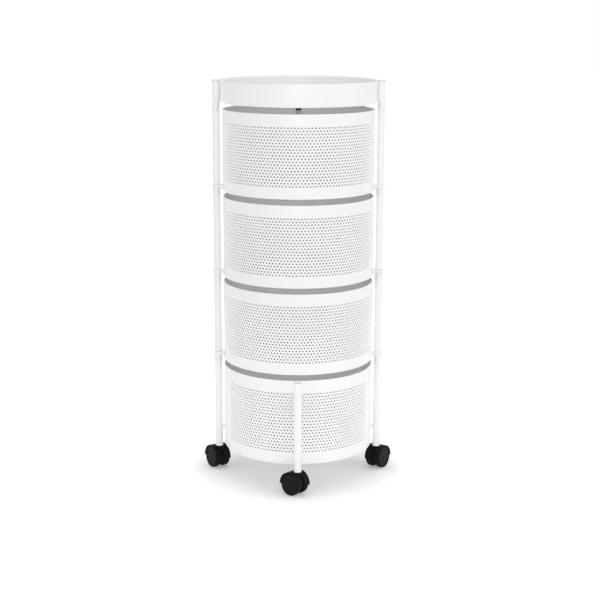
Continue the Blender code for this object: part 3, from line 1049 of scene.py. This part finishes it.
def latch_hook(low, high, rear):
    """An open hook round the other post, with its mouth to the rear. Local X points at the drum."""
    tip = math.sqrt(HOOK_RADIUS ** 2 - HOOK_BORE ** 2)
    outline = [(-HOOK_BORE, tip), (-HOOK_BORE, 0.0)]
    outline += arc(HOOK_BORE, math.pi, 2 * math.pi, HOOK_INNER_STEPS)[1:-1]
    outline += [(HOOK_BORE, 0.0), (HOOK_BORE, TAB_HALF_WIDTH)]
    outline += [(TAB_REACH, TAB_HALF_WIDTH), (TAB_REACH, -TAB_HALF_WIDTH)]
    start = -math.asin(TAB_HALF_WIDTH / HOOK_RADIUS)
    finish = -math.pi - math.asin(tip / HOOK_RADIUS)
    outline += arc(HOOK_RADIUS, start, finish, HOOK_OUTER_STEPS)[:-1]
    outline = [(x, y * rear) for x, y in outline]
    return soften(prism(outline, low, high), FITTING_ROUND)


def stop_peg():
    """The peg behind the upper drum's front rim, with a lug to the wall."""
    low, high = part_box("stop_peg")
    radius = (high.x - low.x) / 2
    centre = (0.0, high.y - radius)
    peg = rod(radius, low.z, high.z, edge=PIN_ROUND, centre=centre)
    front, back, side = low.y, centre[1], LUG_HALF_WIDTH
    corners = [(-side, front), (side, front), (side, back), (-side, back)]
    lug = prism(corners, low.z + LUG_RISE, low.z + LUG_HEIGHT)
    return merged(peg, soften(lug, FITTING_ROUND))


def stop_pad():
    low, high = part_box("stop_pad")
    radius = (high.x - low.x) / 2
    corners = [(0, low.z), (radius, low.z, EDGE_ROUND), (radius, high.z, PAD_ROUND), (0, high.z)]
    return turned(corners, PIN_STEPS, (0.0, (low.y + high.y) / 2))


# Casters, in their own frame: X from the stem to the axle, Y across, Z up

def hood_arch():
    """A half-round hood over both wheels, with a web and a groove between them, swept round the axle."""
    outside = [
        (HOOD_HALF_WIDTH, HOOD_RADIUS, HOOD_SHOULDER),
        (HOOD_GROOVE_HALF, HOOD_RADIUS, HOOD_GROOVE_LIP),
        (HOOD_GROOVE_HALF, HOOD_RADIUS - HOOD_GROOVE_DEPTH, HOOD_GROOVE_FOOT),
    ]
    inside = [
        (-HOOD_HALF_WIDTH, HOOD_INNER, EDGE_ROUND),
        (-WEB_HALF, HOOD_INNER, WEB_ROUND),
        (-WEB_HALF, WEB_END),
    ]
    section = rounded(outside + mirrored(outside) + inside + mirrored(inside), closed=True)
    shape = bmesh.new()
    skirt = math.asin(HOOD_SKIRT / HOOD_RADIUS)
    rings = []
    for step in range(HOOD_STEPS + 1):
        angle = -skirt + (math.pi + 2 * skirt) * step / HOOD_STEPS
        ring = []
        for across, radius in section:
            x, z = TRAIL + radius * math.cos(angle), WHEEL_RADIUS + radius * math.sin(angle)
            ring.append(shape.verts.new((x, across, z)))
        rings.append(ring)
    skin(shape, rings)
    shape.faces.new(rings[0])
    shape.faces.new(rings[-1])
    return shape


def across_axle(shape):
    """Lays an upright turned shape along the axle."""
    lie = Matrix.Translation((TRAIL, 0.0, WHEEL_RADIUS)) @ Matrix.Rotation(-math.pi / 2, 4, "X")
    return moved(shape, lie)


def wheel_pocket():
    """What is cut from the hood for one wheel, on the side of +Y."""
    radius, web = HOOD_INNER - POCKET_INSET, WEB_HALF + POCKET_CLEARANCE
    outline = [(0, web), (radius, web), (radius, CUTTER_REACH), (0, CUTTER_REACH)]
    return across_axle(lathe(bmesh.new(), outline, POCKET_STEPS))


def caster_hood():
    """The hood with its neck, a pocket for each wheel, a boss and the bores of axle and stem."""
    stem_foot = heights("front_caster_stem")[0] - SEAT_GAP
    half_turn = Matrix.Rotation(math.pi, 4, "Z")
    other_side = half_turn @ Matrix.Translation((-2 * TRAIL, 0, 0))
    boss = WEB_HALF + BOSS_PROUD
    axle_bore = rod(AXLE_RADIUS + SEAT_GAP, -CUTTER_REACH, CUTTER_REACH)
    return carved(hood_arch(), [
        ("UNION", rod(TUBE_RADIUS, stem_foot + NECK_RISE, CASTER_TOP, TUBE_STEPS, NECK_ROUND)),
        ("DIFFERENCE", moved(wheel_pocket(), other_side)),
        ("DIFFERENCE", wheel_pocket()),
        ("UNION", across_axle(rod(BOSS_RADIUS, -boss, boss, TUBE_STEPS))),
        ("DIFFERENCE", across_axle(axle_bore)),
        ("DIFFERENCE", rod(STEM_RADIUS + SEAT_GAP, stem_foot, stem_foot + CUTTER_REACH)),
    ])


def caster_wheel():
    """A moulded wheel, inner face at height zero, with a dished outer face and a hub button."""
    bore = AXLE_RADIUS + SEAT_GAP
    face = WHEEL_WIDTH - WHEEL_DISH
    blind = face - HUB_THICKNESS
    hub = [(0, blind), (bore, blind), (bore, 0, 0.0003), (0.0055, 0, 0.0003)]
    recess = [
        (0.0065, WHEEL_RECESS, 0.0005),
        (0.0150, WHEEL_RECESS, 0.0005),
        (0.0160, 0, 0.0003),
    ]
    tread = [
        (WHEEL_RADIUS - 0.0006, 0, 0.0006),
        (WHEEL_RADIUS, 0.0016, 0.002),
        (WHEEL_RADIUS, WHEEL_WIDTH - 0.0018, 0.002),
        (WHEEL_RADIUS - 0.0012, WHEEL_WIDTH, 0.0010),
    ]
    dish = [(WHEEL_RADIUS - 0.0036, WHEEL_WIDTH, 0.0005), (WHEEL_RADIUS - 0.0044, face, 0.0006)]
    button = [
        (0.0042, face, 0.0004),
        (0.0036, face + HUB_BUTTON, 0.0004),
        (0, face + HUB_BUTTON),
    ]
    return turned(hub + recess + tread + dish + button, WHEEL_STEPS)


# Screws and welds

def screw_head():
    """A pan head with a cross recess, one unit across, seated at height zero."""
    dome = [(0, 0.36), (0.22, 0.34, 0.2), (0.44, 0.22, 0.12), (0.5, 0.06, 0.05), (0.5, 0), (0, 0)]
    arm, breadth = 0.27, 0.055
    recess_floor, above = 0.16, 0.5
    steps = []
    for x, y in ((arm, breadth), (breadth, arm)):
        corners = [(-x, -y), (x, -y), (x, y), (-x, y)]
        steps.append(("DIFFERENCE", prism(corners, recess_floor, above)))
    return carved(turned(dome, SCREW_STEPS), steps)


def fastening_tree():
    """Sets a head on each point, facing along the point's own direction."""
    inputs = {"Geometry": "Geometry", "Head": "Object", "Head diameter": "Float", "Finish": "Material"}
    tree, given = new_group("fastenings", "GeometryNodeTree", inputs, {"Geometry": "Geometry"})
    head = add_node(tree, "GeometryNodeObjectInfo", {"Object": given["Head"]})
    facing = add_node(tree, "GeometryNodeInputNamedAttribute", {"Name": "facing"}, data_type="FLOAT_VECTOR")
    turn = add_node(tree, "FunctionNodeAlignRotationToVector", {"Vector": facing.outputs[0]}, axis="Z")
    size = add_node(tree, "ShaderNodeCombineXYZ", {axis: given["Head diameter"] for axis in "XYZ"})
    heads = add_node(tree, "GeometryNodeInstanceOnPoints", {
        "Points": given["Geometry"],
        "Instance": head.outputs["Geometry"],
        "Rotation": turn.outputs[0],
        "Scale": size.outputs[0],
    })
    real = add_node(tree, "GeometryNodeRealizeInstances", {"Geometry": heads.outputs[0]})
    painted = add_node(tree, "GeometryNodeSetMaterial", {
        "Geometry": real.outputs[0],
        "Material": given["Finish"],
    })
    add_node(tree, "NodeGroupOutput", {"Geometry": painted.outputs[0]})
    return tree


FASTENINGS = fastening_tree()


def set_on(places, head_shape, diameter, finish):
    """Heads at (point, direction) places, as one shape."""
    points = bpy.data.meshes.new("fastening_places")
    points.from_pydata([tuple(place) for place, _ in places], [], [])
    facing = points.attributes.new("facing", "FLOAT_VECTOR", "POINT")
    for index, (_, direction) in enumerate(places):
        facing.data[index].vector = direction
    head = new_object("head", as_mesh("head", head_shape))
    shape = run_tree(FASTENINGS, points, {"Head": head, "Head diameter": diameter, "Finish": finish})
    bpy.data.objects.remove(head, do_unlink=True)
    return shape


# Building the object

def build_drums():
    tree = drum_field_tree()
    for tier in ("base", "lower", "middle", "upper"):
        low, high = heights(f"{tier}_basket_wall")
        body = "frame" if tier == "base" else f"{tier}_basket"
        if tier == "base":
            spot = sum(heights("front_spacer")) / 2 - low
            wall = perforated_wall(tree, low, high - low, BASE_FIELD, spot, PLAIN_SPOT_RADIUS)
        else:
            wall = perforated_wall(tree, low, high - low, SWING_FIELD)
        add_piece(f"{tier}_perforated_wall", wall, body, WHITE_COAT, f"{tier}_basket_wall", weld=FIELD_WELD)
        seam = lap_seam(low + SEAM_FOOT, high - HEM_DEPTH - SEAM_HEAD)
        add_piece(f"{tier}_lap_seam", seam, body, WHITE_COAT)
        add_piece(f"{tier}_floor_pan", floor_pan(low), body, WHITE_COAT, f"{tier}_basket_floor")


def build_swing_fittings():
    for tier, post in PIVOT_POST.items():
        body = f"{tier}_basket"
        side = -1 if post == "left" else 1
        low, high = heights(f"{tier}_basket_collar")
        ring = moved(merged(pivot_ring(low, high), weld_bead(low, high)), facing_drum(side))
        add_piece(f"{tier}_pivot_ring", ring, body, WHITE_COAT, f"{tier}_basket_collar")
        low, high = heights(f"{tier}_basket_hook")
        hook = moved(merged(latch_hook(low, high, side), weld_bead(low, high)), facing_drum(-side))
        add_piece(f"{tier}_latch_hook", hook, body, WHITE_COAT, f"{tier}_basket_hook")
    add_piece("stop_peg_turned", stop_peg(), "upper_basket", PEG_STEEL, "stop_peg")
    add_piece("stop_pad_moulded", stop_pad(), "upper_basket", PAD_RUBBER, "stop_pad")


def build_frame():
    tray_low, tray_high = heights("top_tray")
    add_piece("pressed_tray", tray_pan(tray_low, tray_high - tray_low), "frame", WHITE_COAT, "top_tray")
    for post in ("left", "right"):
        place = FEET[post]
        for part in ("leg", "lower_tube", "middle_tube", "upper_tube", "tray_tube"):
            node = f"{post}_post_{part}"
            add_piece(f"{node}_drawn", post_tube(node, place), "frame", WHITE_COAT, node)
        cap = post_cap(place, *heights(f"{post}_post_cap"))
        add_piece(f"{post}_post_plug", cap, "frame", WHITE_CAP, f"{post}_post_cap")
    for foot in ("front", "rear"):
        leg = short_leg(FEET[foot], *heights(f"{foot}_leg"))
        add_piece(f"{foot}_leg_tube", leg, "frame", WHITE_COAT, f"{foot}_leg")
    screws = []
    for foot, (x, y) in FEET.items():
        add_piece(f"{foot}_spacer_sleeve", spacer_sleeve(foot), "frame", WHITE_COAT, f"{foot}_spacer")
        inward = -Vector((x, y, 0)).normalized()
        level = Vector((0, 0, sum(heights(f"{foot}_spacer")) / 2))
        screws.append((-inward * (DRUM_RADIUS - SHEET) + level, inward))
        if y == 0:
            level = Vector((0, 0, (tray_low + tray_high) / 2))
            screws.append((-inward * (TRAY_RADIUS - SHEET) + level, inward))
    add_piece("frame_screws", set_on(screws, screw_head(), SCREW_DIAMETER, ZINC), "frame", ZINC)


def build_casters():
    hood, wheel = as_mesh("hood", caster_hood()), as_mesh("wheel", caster_wheel())
    for foot, (x, y) in FEET.items():
        body = f"{foot}_caster"
        heading = math.radians(CASTER_HEADING[foot])
        stand = Matrix.Translation((x, y, 0)) @ Matrix.Rotation(heading, 4, "Z")
        node = f"{body}_hood"
        add_piece(f"{node}_moulded", moved(shape_of(hood), stand), body, BLACK_MOULDING, node)
        for hand, side in (("left", -1), ("right", 1)):
            place = Matrix.Translation((TRAIL, side * WHEEL_INNER_FACE, WHEEL_RADIUS))
            lie = Matrix.Rotation(-side * math.pi / 2, 4, "X")
            shape = moved(shape_of(wheel), stand @ place @ lie)
            node = f"{body}_{hand}_wheel"
            add_piece(f"{node}_moulded", shape, node, BLACK_WHEEL, node)
        node = f"{body}_stem"
        stem = moved(rod(STEM_RADIUS, *heights(node)), stand)
        add_piece(f"{node}_turned", stem, body, ZINC, node)
        node = f"{body}_axle"
        half = WHEEL_INNER_FACE + WHEEL_WIDTH - AXLE_INSET
        axle = moved(across_axle(rod(AXLE_RADIUS, -half, half)), stand)
        add_piece(f"{node}_turned", axle, body, ZINC, node)
        node = f"{body}_socket"
        low, high = heights(node)
        bore = STEM_RADIUS + RUNNING_GAP
        corners = [(SPIGOT_RADIUS, high), (SPIGOT_RADIUS, low, EDGE_ROUND)]
        corners += [(bore, low, EDGE_ROUND), (bore, high)]
        bush = turned(corners, TUBE_STEPS, (x, y), closed=True)
        add_piece(f"{body}_bush", bush, "frame", BLACK_MOULDING, node)


# Stage

def seen_ray(tree):
    """One for what is seen, straight, in gloss or through glass, and zero for what only lights."""
    path = tree.nodes.new("ShaderNodeLightPath")
    seen = calc(tree, "MAXIMUM", path.outputs["Is Camera Ray"], path.outputs["Is Glossy Ray"])
    return calc(tree, "MAXIMUM", seen, path.outputs["Is Transmission Ray"])


def build_floor():
    """A pale floor that keeps the object's shadow and fades to white away from it."""
    shape = bmesh.new()
    bmesh.ops.create_grid(shape, x_segments=1, y_segments=1, size=STAGE_HALF)
    mesh = as_mesh("studio_floor", shape)
    paint = bpy.data.materials.new("pale_floor")
    paint.use_nodes = True
    tree = paint.node_tree
    tree.nodes.clear()
    matt = add_node(tree, "ShaderNodeBsdfDiffuse", {"Color": STAGE_GREY})
    place = tree.nodes.new("ShaderNodeTexCoord").outputs["Object"]
    away = add_node(tree, "ShaderNodeVectorMath", {0: place}, operation="LENGTH").outputs["Value"]
    fade = mapped(tree, away, STAGE_FADE, STAGE_SHOWN, interpolation_type="SMOOTHSTEP")
    lift = add_node(tree, "ShaderNodeEmission", {"Strength": calc(tree, "MULTIPLY", seen_ray(tree), fade)})
    both = add_node(tree, "ShaderNodeAddShader", {0: matt.outputs[0], 1: lift.outputs[0]})
    add_node(tree, "ShaderNodeOutputMaterial", {"Surface": both.outputs[0]})
    mesh.materials.append(paint)
    floor = new_object("studio_floor", mesh)


def build_world():
    """White for what is seen, and a softer ambient light on the object."""
    world = bpy.data.worlds.new("studio")
    bpy.context.scene.world = world
    world.use_nodes = True
    tree = world.node_tree
    tree.nodes.clear()
    ambient = add_node(tree, "ShaderNodeBackground", {"Color": WHITE, "Strength": AMBIENT})
    white = add_node(tree, "ShaderNodeBackground", {"Color": WHITE, "Strength": 1.0})
    parts = {0: seen_ray(tree), 1: ambient.outputs[0], 2: white.outputs[0]}
    mix = add_node(tree, "ShaderNodeMixShader", parts)
    add_node(tree, "ShaderNodeOutputWorld", {"Surface": mix.outputs[0]})


def build_lights():
    for name, (place, aim, size, power, spread) in LAMPS.items():
        lamp = bpy.data.lights.new(name, "AREA")
        lamp.shape = "SQUARE"
        lamp.size = size
        lamp.energy = power
        lamp.spread = spread
        holder = new_object(name, lamp)
        holder.location = place
        holder.rotation_euler = (Vector(aim) - Vector(place)).to_track_quat("-Z", "Y").to_euler()
        holder.visible_camera = False


def build_camera():
    lens = bpy.data.cameras.new("photo_camera")
    lens.sensor_width = CAMERA_SENSOR
    lens.lens = CAMERA_LENS
    lens.clip_end = CAMERA_FAR
    holder = new_object("photo_camera", lens)
    aim = Matrix.Rotation(math.pi / 2 - CAMERA_PITCH, 4, "X") @ Matrix.Rotation(CAMERA_ROLL, 4, "Z")
    holder.matrix_world = Matrix.Translation(CAMERA_PLACE) @ aim
    bpy.context.scene.camera = holder


build_drums()
build_swing_fittings()
build_frame()
build_casters()
build_floor()
build_world()
build_lights()
build_camera()
bpy.context.scene.view_settings.view_transform = "Standard"
# Light bounces many times inside a white drum
bpy.context.scene.cycles.diffuse_bounces = LIGHT_BOUNCES
